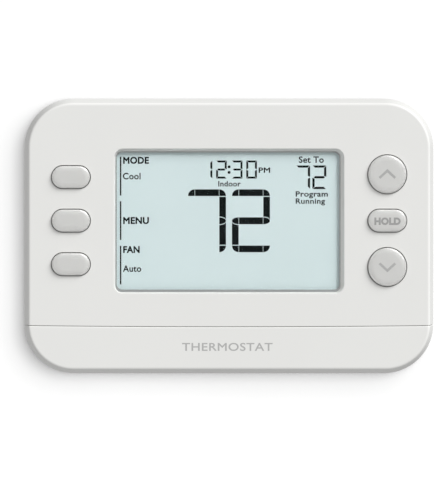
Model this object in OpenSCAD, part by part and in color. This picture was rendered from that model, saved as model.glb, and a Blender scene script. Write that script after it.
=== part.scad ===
// Wall thermostat: a segment display, three keys on each side, a slide-down
// battery cover, and a wall plate with push-in wire terminals.
// Units are millimetres. X runs to the right, Z up and Y into the wall.
// The origin is on the wall plane, midway between the two wall screws.
// Depths are given as distances from the wall plane, so they grow towards -Y.

/* [Case] */
// Width of the case at its widest line
body_w = 133; // [131:0.5:136]
// Height of the case at its widest line
body_h = 89.3; // [88.5:0.1:92]
// Distance from the wall to the front face
body_d = 27; // [27:0.5:29]
// Radius of the corners at the widest line
corner_r = 16; // [13.5:0.5:16]
// Thickness of the case walls
wall = 2; // [1.8:0.1:2.2]
// How far each side leans in from the widest line to the front edge
side_draft = 1.4; // [1:0.1:1.6]
// Width of the rounded front edge, seen from the front
edge_w = 1.3; // [0.9:0.1:1.5]

/* [Display] */
// Width of the window at the front face
window_w = 74.4; // [70:0.2:76]
// Height of the window at the front face
window_h = 46.8; // [44:0.2:48]
// Height of the middle of the window and key columns above the origin
row_z = 5.1; // [4.8:0.1:5.4]

/* [Keys] */
// Distance of each key column from the middle of the case
key_x = 51.2; // [50.8:0.1:51.6]
// Width of an oval key
oval_w = 12.4; // [11.8:0.1:12.6]
// Height of an oval key
oval_h = 7.2; // [6.8:0.1:7.6]
// Diameter of a round key
round_dia = 12.4; // [12:0.1:12.8]
// Vertical spacing of the left keys
left_pitch = 14.1; // [13.8:0.1:14.6]
// Vertical distance from the middle right key to each round key
right_pitch = 15; // [14.6:0.1:15.2]
// How far the keys stand proud of the front face
key_proud = 1.4; // [0.8:0.1:1.8]
// Gap around each key
key_gap = 0.3; // [0.25:0.05:0.4]

/* [Battery bay] */
// Height of the seam above the battery cover at the middle, from the origin
seam_mid = -29.25; // [-29.6:0.05:-29]
// How much higher the seam is at the sides than at the middle
seam_rise = 0.4; // [0:0.1:0.5]
// Width of the seam
seam_gap = 0.3; // [0.2:0.05:0.4]
// Diameter of an AAA cell
cell_dia = 10.5; // [10:0.1:10.5]
// Length of an AAA cell over its terminals
cell_len = 44.5; // [44:0.1:44.5]

/* [Wall plate] */
// Width of the wall plate
plate_w = 76; // [74:1:77]
// Height of the wall plate
plate_h = 72; // [70:1:73]
// Distance between the two wall screws
screw_pitch = 60.3; // [60:0.1:61]
// Radius of a wall screw hole
screw_r = 2.2; // [2:0.1:2.4]
// Distance between neighbouring wire terminals
terminal_pitch = 7; // [6.8:0.1:7]

/* [Hidden] */
$fn = 64;
slice = 0.01;
eps = 0.1;

KEYS = ["mode", "menu", "fan", "up", "hold", "down"];
LEVERS = 10;

// Depths through the case
skin_d = body_d - wall;
split_d = 12;
part_line = 0.1;
lens_front = body_d - 1.5;
lens_t = 1;
lens_back = lens_front - lens_t;
lcd_front = lens_back - 0.3;
lcd_t = 2.2;
lcd_back = lcd_front - lcd_t;
guide_front = lcd_back - 0.2;
guide_t = 2.6;
board_front = body_d - 11;
board_t = 1.6;
board_back = board_front - board_t;
rear_d = 1.2;
rear_inset = 0.8;

// Display
lens_margin = 1.8;
lcd_w = window_w + 6.6;
lcd_h = window_h + 8.2;
frame_rim = 2.3;
frame_w = lcd_w + 0.4 + 2 * frame_rim;
frame_h = lcd_h + 0.4 + 2 * frame_rim;
guide_w = lcd_w - 2;
guide_h = lcd_h - 6;
zebra_t = 2;
zebra_z = lcd_h / 2 - zebra_t / 2 - 0.5;

// Keys
flange_w = 1.3;
flange_front = skin_d - 0.2;
flange_t = 0.9;
plunger_r = 1.7;
plunger_top = board_front + 4.7;
switch_size = 6;
switch_t = 3.4;

// Screws of the case and of the board
case_screw_x = 58.2;
case_screw_z = [-22, 33.2];
case_screw_at = [for (x = [-case_screw_x, case_screw_x], z = case_screw_z) [x, z]];
board_screw_x = 46.5;
board_screw_z = [-22.8, 34.5];
board_screw_at = [for (x = [-board_screw_x, board_screw_x], z = board_screw_z) [x, z]];
boss_r = 3;
pilot_r = 1.2;
shank_r = 1.15;
screw_seat_d = 8;
screw_well_r = 2.8;
screw_hole_r = 1.5;
standoff_r = 2.4;
standoff_pilot_r = 1;

// Battery bay
cell_z = -35.9;
cell_d = body_d - 8.8;
bay_x = 51.4;
bay_floor = 12.6;
bay_floor_t = 1.4;
bay_end_t = 1.6;
saddle_x = [-40, -14, 12, 38];
saddle_t = 1.4;
bay_front = body_d - 4.4;
shelf_z = -30.2;
shelf_t = 1.5;
divider_t = 1.4;
contact_t = 0.4;
dimple_h = 1;
nub_len = 0.9;
cell_play = 0.1;
spring_len = 4.2;
tongue_h = 3.6;
bay_bottom = -41;

// Wall plate
plate_t = 2;
plate_rim_d = 7.6;
plate_rim_t = 1.6;
wire_w = 26;
wire_h = 30;
pocket_gap = 1.5;
pocket_d = 9.2;
pocket_t = 2;
block_x = 14.4;
block_w = 12;
block_top = 8.2;
block_h = 5 * terminal_pitch + 1;
lever_x = 17.2;
lever_slot = 4.2;
lever_top = 8.8;
lever_t = 2.6;
pin_x = 24.6;
pin_r = 0.5;
pin_tip = board_back - 1;
jumper_x = 8;
jumper_z = 28.5;
jumper_w = 16;
jumper_h = 8;
jumper_d = 7;
jumper_travel = 5;

// ---------- helpers ----------

// Draws in the X-Z plane and extrudes from distance d away from the wall
module from_wall(d) {
    translate([0, -d, 0]) rotate([90, 0, 0]) children();
}

module rounded_rect(w, h, r) {
    square([w - 2 * r, h], center = true);
    square([w, h - 2 * r], center = true);
    for (x = [-1, 1], z = [-1, 1])
        translate([x * (w / 2 - r), z * (h / 2 - r)]) circle(r);
}

module slab(w, h, r, d0, d1) {
    from_wall(d0) linear_extrude(d1 - d0) rounded_rect(w, h, r);
}

// A box given by its middle in X and Z, and by its two distances from the wall
module block(x, z, w, h, d0, d1) {
    translate([x - w / 2, -d1, z - h / 2]) cube([w, d1 - d0, h]);
}

// A round bar standing away from the wall at X, Z
module post(x, z, r, d0, d1) {
    translate([x, -d0, z]) rotate([90, 0, 0]) cylinder(r = r, h = d1 - d0);
}

// A round bar lying along X
module bar_x(x0, x1, d, z, r) {
    translate([x0, -d, z]) rotate([0, 90, 0]) cylinder(r = r, h = x1 - x0);
}

module oval(w, h) {
    if (w > h) {
        square([w - h, h], center = true);
        for (x = [-1, 1]) translate([x * (w - h) / 2, 0]) circle(h / 2);
    } else circle(w / 2);
}

module oval_slab(w, h, d0, d1) {
    from_wall(d0) linear_extrude(d1 - d0) oval(w, h);
}

// A pan head with a cross recess, at distance d, its shank running away from the wall
module screw(x, z, head_r, head_t, shank, d, length) {
    recess = 0.7;
    difference() {
        post(x, z, head_r, d - head_t, d);
        for (a = [0, 90])
            translate([x, -d + head_t, z]) rotate([0, a, 0])
                cube([head_r * 1.2, 2 * recess, recess], center = true);
    }
    post(x, z, shank, d, d + length);
}

// ---------- case outline ----------

// Each level is [distance from the wall, inset from the widest line]
outer_levels = [
    [split_d + part_line + slice, 0],
    [body_d - 1.1, side_draft],
    [body_d - 0.5, side_draft + edge_w * 0.25],
    [body_d - 0.15, side_draft + edge_w * 0.6],
    [body_d, side_draft + edge_w]];
inner_levels = [[split_d - eps, wall], [skin_d, wall + side_draft]];

module stack(levels) {
    hull() for (l = levels)
        from_wall(l[0] - slice) linear_extrude(slice)
            rounded_rect(body_w - 2 * l[1], body_h - 2 * l[1], corner_r - l[1]);
}

module case_shell() {
    difference() {
        stack(outer_levels);
        stack(inner_levels);
    }
}

// The seam is a shallow arc: this is its height at x
function seam_z(x) = seam_mid + seam_rise * pow(x / (body_w / 2), 2);

// Everything on one side of the seam, shifted by dz, from the rear to the front
module beside_seam(dz, far) {
    reach = body_w / 2 + 5;
    steps = 24;
    top = [for (i = [0:steps]) let (x = -reach + 2 * reach * i / steps) [x, seam_z(x) + dz]];
    from_wall(split_d - 1) linear_extrude(body_d)
        polygon(concat(top, [[reach, far], [-reach, far]]));
}

// ---------- keys ----------

// Where each key is, as [x, z, width, height]
function key_spec(k) =
    k == "mode" ? [-key_x, row_z + left_pitch, oval_w, oval_h] :
    k == "menu" ? [-key_x, row_z, oval_w, oval_h] :
    k == "fan" ? [-key_x, row_z - left_pitch, oval_w, oval_h] :
    k == "up" ? [key_x, row_z + right_pitch, round_dia, round_dia] :
    k == "hold" ? [key_x, row_z, oval_w, oval_h] :
    [key_x, row_z - right_pitch, round_dia, round_dia];

module at_key(k) {
    s = key_spec(k);
    translate([s[0], 0, s[1]]) children();
}

module button(k) {
    s = key_spec(k);
    rim = 0.9;
    color([0.79, 0.79, 0.78]) at_key(k) {
        oval_slab(s[2], s[3], flange_front - eps, body_d + key_proud - 0.5);
        hull() {
            oval_slab(s[2], s[3], body_d, body_d + key_proud - 0.5);
            oval_slab(s[2] - 2 * rim, s[3] - 2 * rim, body_d, body_d + key_proud);
        }
        oval_slab(s[2] + 2 * flange_w, s[3] + 2 * flange_w, flange_front - flange_t, flange_front);
        post(0, 0, 1.6, plunger_top, flange_front - flange_t + eps);
    }
}

module plunger(k) {
    color([0.12, 0.12, 0.13]) at_key(k)
        post(0, 0, plunger_r, board_front + 2, plunger_top);
}

module switch_bodies() {
    color([0.2, 0.2, 0.21]) for (k = KEYS) at_key(k) difference() {
        block(0, 0, switch_size, switch_size, board_front, board_front + switch_t);
        post(0, 0, plunger_r + 0.15, board_front + 1.2, board_front + switch_t + eps);
    }
}

// ---------- covers ----------

module window_cut() {
    throat = 0.9;
    translate([0, 0, row_z]) {
        hull() {
            slab(window_w + 0.1, window_h + 0.1, 2.85, body_d, body_d + eps);
            slab(window_w - 2 * throat, window_h - 2 * throat, 2, lens_front - slice, lens_front);
        }
        slab(window_w - 2 * throat, window_h - 2 * throat, 2, skin_d - eps, body_d);
        slab(window_w + 2 * lens_margin + 0.4, window_h + 2 * lens_margin + 0.4, 2.5,
             skin_d - eps, lens_front);
    }
}

module front_cover() {
    case_pilot = 7;
    board_pilot = 5;
    color([0.89, 0.89, 0.88]) difference() {
        union() {
            case_shell();
            for (p = case_screw_at) post(p[0], p[1], boss_r, split_d, skin_d + eps);
            for (p = board_screw_at) post(p[0], p[1], standoff_r, board_front, skin_d + eps);
        }
        window_cut();
        for (k = KEYS) let (s = key_spec(k)) at_key(k)
            oval_slab(s[2] + 2 * key_gap, s[3] + 2 * key_gap, skin_d - eps, body_d + eps);
        beside_seam(seam_gap / 2, -body_h);
        for (p = case_screw_at) post(p[0], p[1], pilot_r, split_d - eps, split_d + case_pilot);
        for (p = board_screw_at)
            post(p[0], p[1], standoff_pilot_r, board_front - eps, board_front + board_pilot);
    }
}

module battery_cover() {
    tongue_x = 42;
    tongue_w = 16;
    tongue_d0 = skin_d - 1.2;
    tongue_d1 = skin_d - 0.3;
    root_z = seam_mid - 2.8;
    root_h = 2;
    grip_w = 22;
    grip_cut = 0.4;
    color([0.89, 0.89, 0.88]) {
        difference() {
            case_shell();
            beside_seam(-seam_gap / 2, body_h);
            block(0, -body_h / 2, grip_w, 2 * grip_cut, split_d + 4, split_d + 9);
        }
        for (x = [-tongue_x, tongue_x]) {
            block(x, (root_z + seam_mid + tongue_h) / 2, tongue_w, seam_mid + tongue_h - root_z,
                  tongue_d0, tongue_d1);
            block(x, root_z + root_h / 2, tongue_w, root_h, tongue_d0, skin_d + eps);
        }
    }
}

// A saddle that carries a cell from behind, open towards the front
module saddle(x) {
    difference() {
        block(x, (shelf_z + bay_bottom) / 2, saddle_t, shelf_z - bay_bottom, bay_floor - eps, cell_d);
        bar_x(x - saddle_t, x + saddle_t, cell_d, cell_z, cell_dia / 2 + 0.15);
    }
}

module battery_bay() {
    floor_d = bay_floor - bay_floor_t;
    bay_h = shelf_z + shelf_t - bay_bottom;
    bay_mid = bay_bottom + bay_h / 2;
    block(0, bay_mid, 2 * (bay_x + bay_end_t), bay_h, floor_d, bay_floor);
    block(0, shelf_z + shelf_t / 2, 2 * bay_x + 20, shelf_t, floor_d, bay_front);
    for (s = [-1, 1])
        block(s * (bay_x + bay_end_t / 2), bay_mid, bay_end_t, bay_h, floor_d, bay_front);
    block(0, bay_mid, divider_t, bay_h, bay_floor - eps, bay_front);
    for (x = saddle_x) saddle(x);
}

// A row of air slots through the top or bottom wall
module vents(z) {
    pitch = 5;
    slot_w = 1.8;
    slot_d0 = 5;
    slot_d1 = 9.4;
    for (i = [-6:6]) block(i * pitch, z, slot_w, wall * 3, slot_d0, slot_d1);
}

module rear_cover() {
    w = body_w - 2 * rear_inset;
    h = body_h - 2 * rear_inset;
    r = corner_r - rear_inset;
    pocket_w = plate_w + 2 * pocket_gap;
    pocket_h = plate_h + 2 * pocket_gap;
    pocket_r = 3;
    pocket_wall = 1.8;
    socket_w = 6.4;
    lip_in = rear_inset + 1.6;
    lip_t = 1;
    lip_h = 1.5;
    color([0.9, 0.9, 0.89]) difference() {
        union() {
            difference() {
                slab(w, h, r, rear_d, split_d);
                slab(w - 2 * wall, h - 2 * wall, r - wall, rear_d + wall, split_d + eps);
            }
            difference() {
                slab(body_w - 2 * lip_in, body_h - 2 * lip_in, corner_r - lip_in,
                     split_d - 2, split_d + lip_h);
                slab(body_w - 2 * (lip_in + lip_t), body_h - 2 * (lip_in + lip_t),
                     corner_r - lip_in - lip_t, split_d - 3, split_d + lip_h + 1);
            }
            slab(pocket_w + 2 * pocket_wall, pocket_h + 2 * pocket_wall, pocket_r + pocket_wall,
                 rear_d, pocket_d + pocket_t);
            for (p = case_screw_at) post(p[0], p[1], boss_r + 0.8, rear_d + 1, split_d);
            battery_bay();
        }
        slab(pocket_w, pocket_h, pocket_r, 0, pocket_d);
        for (s = [-1, 1])
            block(s * pin_x, 0, socket_w, block_h + 1, pocket_d - eps, pocket_d + pocket_t + eps);
        for (p = case_screw_at) {
            post(p[0], p[1], screw_well_r, 0, screw_seat_d);
            post(p[0], p[1], screw_hole_r, screw_seat_d - eps, split_d + eps);
        }
        for (s = [-1, 1]) vents(s * (body_h / 2 - rear_inset - wall / 2));
    }
}

// ---------- display ----------

module window_lens() {
    color([0.85, 0.93, 0.93, 0.3]) translate([0, 0, row_z])
        slab(window_w + 2 * lens_margin, window_h + 2 * lens_margin, 2.3, lens_back, lens_front);
}

module lens_gasket() {
    sight_gap = 0.8;
    foam_w = 2.4;
    foam_h = 2.2;
    color([0.15, 0.15, 0.15]) translate([0, 0, row_z]) difference() {
        slab(window_w + sight_gap + 2 * foam_w, window_h + sight_gap + 2 * foam_h, 2,
             lcd_front, lens_back);
        slab(window_w + sight_gap, window_h + sight_gap, 1.5, lcd_front - eps, lens_back + eps);
    }
}

module lcd_panel() {
    ledge = 2.4;
    color([0.82, 0.89, 0.89]) translate([0, 0, row_z]) {
        slab(lcd_w, lcd_h, 0.5, lcd_back, lcd_back + lcd_t / 2);
        slab(lcd_w, lcd_h - ledge, 0.5, lcd_back + lcd_t / 2, lcd_front);
    }
}

module lcd_frame() {
    seat_w = 6.6;
    seat_h = 7;
    color([0.93, 0.93, 0.92]) translate([0, 0, row_z]) {
        difference() {
            slab(frame_w, frame_h, 1.5, board_front, lcd_front);
            slab(lcd_w + 0.4, lcd_h + 0.4, 0.6, board_front - eps, lcd_front + eps);
        }
        for (x = [-1, 1], z = [-1, 1])
            block(x * (lcd_w / 2 + 0.3 - seat_w / 2), z * (guide_h / 2 - seat_h / 2 - 1),
                  seat_w, seat_h, board_front, guide_front - guide_t);
    }
}

module light_guide() {
    color([0.94, 0.97, 0.97, 0.8]) translate([0, 0, row_z])
        slab(guide_w, guide_h, 1, guide_front - guide_t, guide_front);
}

module backlight_leds() {
    lamp_t = 0.9;
    lamp_h = 5;
    gap = 0.15;
    color([0.98, 0.95, 0.75]) for (x = [-1, 1])
        block(x * (guide_w / 2 + gap + lamp_t / 2), row_z, lamp_t, lamp_h, board_front,
              guide_front - 0.2);
}

module zebra_strips() {
    color([0.45, 0.45, 0.5]) for (z = [-1, 1])
        block(0, row_z + z * zebra_z, lcd_w - 16, zebra_t, board_front, lcd_back);
}

// ---------- electronics ----------

module main_board() {
    board_w = 116;
    board_z0 = -26.5;
    board_z1 = 38.5;
    color([0.1, 0.36, 0.2]) difference() {
        translate([0, 0, (board_z0 + board_z1) / 2])
            slab(board_w, board_z1 - board_z0, 5, board_back, board_front);
        for (p = case_screw_at) post(p[0], p[1], boss_r + 1.6, board_back - eps, board_front + eps);
        for (p = board_screw_at) post(p[0], p[1], 1.2, board_back - eps, board_front + eps);
    }
}

module microcontroller() {
    size = 12;
    chip_t = 1.5;
    legs = 10;
    leg_pitch = 1;
    leg_len = 1;
    leg_w = 0.45;
    leg_h = 0.6;
    z = 14;
    color([0.13, 0.13, 0.14]) block(0, z, size, size, board_back - chip_t, board_back - 0.15);
    color([0.8, 0.8, 0.8]) for (i = [0:legs - 1]) {
        at = (i - (legs - 1) / 2) * leg_pitch;
        out = (size + leg_len) / 2;
        for (s = [-1, 1]) {
            block(s * out, z + at, leg_len, leg_w, board_back - leg_h, board_back);
            block(at, z + s * out, leg_w, leg_len, board_back - leg_h, board_back);
        }
    }
}

module relays() {
    relay_x = 50;
    relay_z = [-12, 1.5, 15];
    relay_w = 10;
    relay_h = 12;
    relay_t = 8;
    color([0.92, 0.92, 0.9]) for (z = relay_z)
        translate([relay_x, 0, z]) slab(relay_w, relay_h, 0.8, board_back - relay_t, board_back);
}

module capacitors() {
    can_x = -50;
    can_z = [2, 14];
    can_r = 4;
    can_t = 9;
    top_t = 0.4;
    neck_t = 1;
    color([0.16, 0.18, 0.3]) for (z = can_z) {
        post(can_x, z, can_r, board_back - can_t + top_t, board_back - neck_t);
        post(can_x, z, can_r - 0.3, board_back - can_t, board_back - can_t + top_t);
        post(can_x, z, can_r - 0.4, board_back - neck_t, board_back);
    }
}

// Chip resistors and capacitors in rows between the pin sockets and below them
module small_parts() {
    chip_len = 2;
    chip_w = 1.2;
    chip_h = 0.7;
    crystal = [7, 3, 1.8];
    coil_r = 3.2;
    coil_t = 4;
    color([0.35, 0.3, 0.26]) {
        for (i = [-3:3]) block(i * 4, -2, chip_w, chip_len, board_back - chip_h, board_back);
        for (i = [-3:3]) block(i * 4, -10, chip_len, chip_w, board_back - chip_h, board_back);
        for (i = [-4:4]) block(i * 5, -21.5, chip_len, chip_w, board_back - chip_h, board_back);
        block(0, -15.5, crystal[0], crystal[1], board_back - crystal[2], board_back);
        post(-50, -10, coil_r, board_back - coil_t, board_back);
    }
}

module pin_sockets() {
    mouth_d = pocket_d + 0.8;
    body_t = 5.2;
    color([0.1, 0.1, 0.1]) for (s = [-1, 1]) difference() {
        block(s * pin_x, 0, body_t, block_h - 1, mouth_d, board_back);
        for (i = [-2:2]) post(s * pin_x, i * terminal_pitch, pin_r + 0.2, mouth_d - eps, pin_tip + 0.5);
    }
}

module temperature_sensor() {
    sensor_x = -30;
    bead_z = 40.3;
    bead_d = board_front + 1.2;
    lead_r = 0.22;
    lead_z = bead_z - 4.3;
    $fn = 128;
    color([0.1, 0.1, 0.12]) translate([sensor_x, -bead_d, bead_z]) sphere(r = 1.2);
    color([0.8, 0.8, 0.8]) for (x = [-0.5, 0.5]) {
        translate([sensor_x + x, -bead_d, lead_z - lead_r]) cylinder(r = lead_r, h = 4);
        post(sensor_x + x, lead_z, lead_r, board_front, bead_d + lead_r);
    }
}

module case_screws() {
    color([0.75, 0.75, 0.77]) for (p = case_screw_at)
        screw(p[0], p[1], 2.4, 1.6, shank_r, screw_seat_d, 10);
}

module board_screws() {
    color([0.75, 0.75, 0.77]) for (p = board_screw_at)
        screw(p[0], p[1], 2, 1.2, 0.95, board_back, 6);
}

// ---------- battery bay pieces ----------

// Left end of each cell's positive nub
left_cell_x = -bay_x + contact_t + dimple_h + cell_play;
right_cell_x = divider_t / 2 + contact_t + dimple_h + cell_play;

module cell(x) {
    color([0.2, 0.21, 0.23]) {
        bar_x(x, x + nub_len + eps, cell_d, cell_z, 1.9);
        bar_x(x + nub_len, x + nub_len + 0.4, cell_d, cell_z, 4.6);
        bar_x(x + nub_len + 0.3, x + cell_len - 0.3, cell_d, cell_z, cell_dia / 2);
        bar_x(x + cell_len - 0.4, x + cell_len, cell_d, cell_z, 4.4);
    }
}

module contact_leaf(x, side) {
    leaf = 8;
    block(x + side * contact_t / 2, cell_z, contact_t, leaf, cell_d - leaf / 2, cell_d + leaf / 2);
}

module dimple(x) {
    translate([x, -cell_d, cell_z]) rotate([0, 90, 0]) cylinder(r1 = 2, r2 = 1.2, h = dimple_h);
}

module positive_contact() {
    color([0.8, 0.78, 0.72]) {
        contact_leaf(-bay_x, 1);
        dimple(-bay_x + contact_t);
    }
}

module bridge_contact() {
    strap_h = 4;
    color([0.8, 0.78, 0.72]) {
        for (s = [-1, 1]) {
            contact_leaf(s * divider_t / 2, s);
            block(s * (divider_t + contact_t) / 2, cell_z, contact_t, strap_h, cell_d,
                  bay_front + contact_t);
        }
        dimple(divider_t / 2 + contact_t);
        block(0, cell_z, divider_t + 2 * contact_t, strap_h, bay_front, bay_front + contact_t);
    }
}

module negative_contact() {
    color([0.8, 0.78, 0.72]) contact_leaf(bay_x, -1);
}

// A conical coil along X, from its wide end at x0 to its narrow end at x0 + side * length
module coil(x0, side) {
    wire_r = 0.3;
    sides = 6;
    turns = 4;
    steps = 14;
    n = turns * steps;
    wide = 3.4;
    narrow = 2.2;
    run = spring_len - 2 * wire_r;
    function ring(i) = [for (j = [0:sides - 1])
        let (t = i / n, a = 360 * i / steps, b = 360 * j / sides,
             r = wide + (narrow - wide) * t + wire_r * cos(b))
        [x0 + side * (wire_r + run * t + wire_r * sin(b)),
         -cell_d - r * sin(a), cell_z + r * cos(a)]];
    points = [for (i = [0:n]) each ring(i)];
    near = [for (j = [0:sides - 1]) j];
    far = [for (j = [sides - 1:-1:0]) n * sides + j];
    skin = [for (i = [0:n - 1], j = [0:sides - 1])
        let (k = (j + 1) % sides)
        [i * sides + j, (i + 1) * sides + j, (i + 1) * sides + k, i * sides + k]];
    faces = concat([near, far], skin);
    flipped = [for (f = faces) [for (m = [len(f) - 1:-1:0]) f[m]]];
    color([0.8, 0.8, 0.82]) polyhedron(points, side > 0 ? faces : flipped);
}

// ---------- wall plate ----------

module wall_plate() {
    nose = 1.1;
    nose_x = 20;
    nose_w = 9;
    nose_d0 = 4.4;
    nose_d1 = 6.2;
    screw_boss_r = 3.7;
    rib_t = 1.4;
    rib_x = 31.5;
    rib_z = 14;
    color([0.91, 0.91, 0.9]) difference() {
        union() {
            slab(plate_w, plate_h, 3, 0, plate_t);
            difference() {
                slab(plate_w, plate_h, 3, plate_t - eps, plate_rim_d);
                slab(plate_w - 2 * plate_rim_t, plate_h - 2 * plate_rim_t, 1.4,
                     plate_t - 2 * eps, plate_rim_d + eps);
            }
            for (x = [-1, 1])
                post(x * screw_pitch / 2, 0, screw_boss_r, plate_t - eps, plate_t + 1);
            for (x = [-1, 1], z = [-1, 1])
                block(x * nose_x, z * (plate_h / 2 + nose / 2 - eps), nose_w, nose + eps,
                      nose_d0, nose_d1);
            block(jumper_x + jumper_w / 2, jumper_z, jumper_w, jumper_h, plate_t - eps, jumper_d);
            // ribs above and below the wire opening, and beside the screws
            for (z = [-1, 1]) block(0, z * (wire_h / 2 + 1), wire_w, rib_t, plate_t - eps, 5);
            for (x = [-1, 1], z = [-1, 1])
                block(x * rib_x, z * rib_z, 9, rib_t, plate_t - eps, 4.5);
        }
        slab(wire_w, wire_h, 2, -eps, plate_t + eps);
        for (x = [-1, 1]) post(x * screw_pitch / 2, 0, screw_r, -eps, plate_t + 2);
        block(jumper_x + jumper_w / 2, jumper_z, jumper_travel + 5.4, 3.2, plate_t + 1,
              jumper_d + eps);
    }
}

// side is -1 for the left block and 1 for the right one
module terminal_block(side) {
    floor_d = plate_t + 0.6;
    wire_top = 5.1;
    chamber_w = 8.4;
    chamber_top = 5.4;
    color([0.93, 0.93, 0.92]) difference() {
        block(side * (block_x + block_w / 2), 0, block_w, block_h, plate_t, block_top);
        for (i = [-2:2]) let (z = i * terminal_pitch) {
            // slot for the release lever, the wire entry, the clamp's chamber and the pin
            block(side * (lever_x + lever_slot / 2), z, lever_slot, 4.4, floor_d, block_top + eps);
            block(side * (block_x + 1.5), z, 3 + eps, 2.4, floor_d + eps, wire_top);
            block(side * (lever_x + chamber_w / 2), z, chamber_w, 3.8, floor_d, chamber_top);
            post(side * pin_x, z, pin_r + 0.12, floor_d, block_top + eps);
        }
    }
}

// Levers 1 to 5 are on the left block from top to bottom, and 6 to 10 on the right one
module release_lever(i) {
    side = i <= 5 ? -1 : 1;
    z = (2 - (i - 1) % 5) * terminal_pitch;
    x = side * (lever_x + lever_slot / 2);
    groove_w = 2.6;
    groove_h = 0.8;
    groove_t = 0.4;
    color([0.86, 0.45, 0.16]) difference() {
        block(x, z, lever_slot - 0.4, 4, lever_top - lever_t, lever_top);
        block(x, z, groove_w, groove_h, lever_top - groove_t, lever_top + eps);
    }
}

// A leaf spring for each wire, on a strip that runs to its contact pin
module terminal_clamps() {
    strip_t = 0.3;
    strip_len = 8;
    leaf_len = 4.4;
    leaf_w = 2.6;
    leaf_lean = 27;
    d = plate_t + 0.6;
    color([0.8, 0.62, 0.3]) for (side = [-1, 1], i = [-2:2]) {
        z = i * terminal_pitch;
        block(side * (lever_x + 4.2), z, strip_len, 3, d, d + strip_t);
        translate([side * (lever_x + 5.6), -d - strip_t / 2, z]) rotate([0, 0, side * leaf_lean])
            translate([-side * leaf_len / 2, 0, 0]) cube([leaf_len, strip_t, leaf_w], center = true);
    }
}

module contact_pins() {
    d = plate_t + 0.9;
    point = 0.6;
    color([0.83, 0.7, 0.36]) for (side = [-1, 1], i = [-2:2]) {
        post(side * pin_x, i * terminal_pitch, pin_r, d, pin_tip - point);
        translate([side * pin_x, -pin_tip + point, i * terminal_pitch]) rotate([90, 0, 0])
            cylinder(r1 = pin_r, r2 = pin_r / 2, h = point);
    }
}

module jumper_contacts() {
    pad = 2.4;
    pitch = 3.8;
    color([0.8, 0.62, 0.3]) for (i = [-1:1])
        block(jumper_x + jumper_w / 2 + i * pitch, jumper_z, pad, pad, plate_t + 1, plate_t + 1.2);
}

module jumper_slider() {
    x = jumper_x + (jumper_w - jumper_travel) / 2;
    shuttle_w = 4.6;
    knob_w = 3;
    color([0.15, 0.15, 0.16]) {
        block(x, jumper_z, shuttle_w, 2.8, plate_t + 1.5, jumper_d + 0.4);
        block(x, jumper_z, knob_w, 2.4, jumper_d + 0.3, jumper_d + 1.4);
    }
}

// ---------- the parts ----------

wall_plate();
terminal_block(-1);  // terminal_block_left
terminal_block(1);  // terminal_block_right
terminal_clamps();
contact_pins();
jumper_contacts();
jumper_slider();
rear_cover();
front_cover();
battery_cover();
window_lens();
lens_gasket();
lcd_panel();
lcd_frame();
light_guide();
backlight_leds();
zebra_strips();
main_board();
switch_bodies();
microcontroller();
relays();
capacitors();
small_parts();
pin_sockets();
temperature_sensor();
cell(left_cell_x);  // battery_left
cell(right_cell_x);  // battery_right
positive_contact();
bridge_contact();
negative_contact();
coil(-divider_t / 2 - contact_t, -1);  // bridge_spring
coil(bay_x - contact_t, -1);  // end_spring
case_screws();
board_screws();
for (k = KEYS) button(k);
for (k = KEYS) plunger(k);
for (i = [1:LEVERS]) release_lever(i);
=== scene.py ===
"""The looks of a wall thermostat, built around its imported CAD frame.

Shapes are worked out in millimetres: x to the right, z up, and d, the distance from the wall, which grows
towards the room (Y = -d). Skin.piece() turns them into metres.
"""
import math

import bmesh
import bpy
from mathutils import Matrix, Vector
from mathutils.geometry import tessellate_polygon


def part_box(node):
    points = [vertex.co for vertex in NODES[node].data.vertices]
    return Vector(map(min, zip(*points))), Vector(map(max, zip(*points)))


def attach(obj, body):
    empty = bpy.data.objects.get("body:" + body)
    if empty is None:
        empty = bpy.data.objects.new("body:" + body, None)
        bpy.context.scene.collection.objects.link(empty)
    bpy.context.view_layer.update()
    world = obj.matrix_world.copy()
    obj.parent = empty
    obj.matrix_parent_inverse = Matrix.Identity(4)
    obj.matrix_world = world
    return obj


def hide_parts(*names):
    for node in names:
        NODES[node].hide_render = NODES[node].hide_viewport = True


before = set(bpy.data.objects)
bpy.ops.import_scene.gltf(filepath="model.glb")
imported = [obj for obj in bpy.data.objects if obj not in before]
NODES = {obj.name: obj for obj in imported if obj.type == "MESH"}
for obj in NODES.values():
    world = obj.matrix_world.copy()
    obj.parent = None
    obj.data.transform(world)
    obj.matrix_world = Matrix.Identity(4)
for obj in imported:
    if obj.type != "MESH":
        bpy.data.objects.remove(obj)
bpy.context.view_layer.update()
MM = 0.001

KEYS = ("mode", "menu", "fan", "up", "hold", "down")


# ---------- sizes, from the frame ----------

def box_mm(node):
    """Lowest and highest corner of a CAD node as (x, d, z), in millimetres."""
    lo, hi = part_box(node)
    return Vector((lo.x, -hi.y, lo.z)) / MM, Vector((hi.x, -lo.y, hi.z)) / MM


front_lo, front_hi = box_mm("front_cover")
strip_lo, strip_hi = box_mm("battery_cover")
lens_lo, lens_hi = box_mm("window_lens")
lcd_lo, lcd_hi = box_mm("lcd_panel")

# the case: its front face, its rear edge and the back of its front wall
CASE_W = front_hi.x - front_lo.x
CASE_H = front_hi.z - strip_lo.z
WALL = 2.0
FACE_D = front_hi.y
SPLIT_D = strip_lo.y
SKIN_D = FACE_D - WALL

# its corners, how far its sides lean in, and the width and depth of the rounded front edge
CORNER_R = 16.0
CORNER_STEPS = 20
SIDE_DRAFT = 1.4
EDGE_W = 0.95
EDGE_D = 0.85

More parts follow.
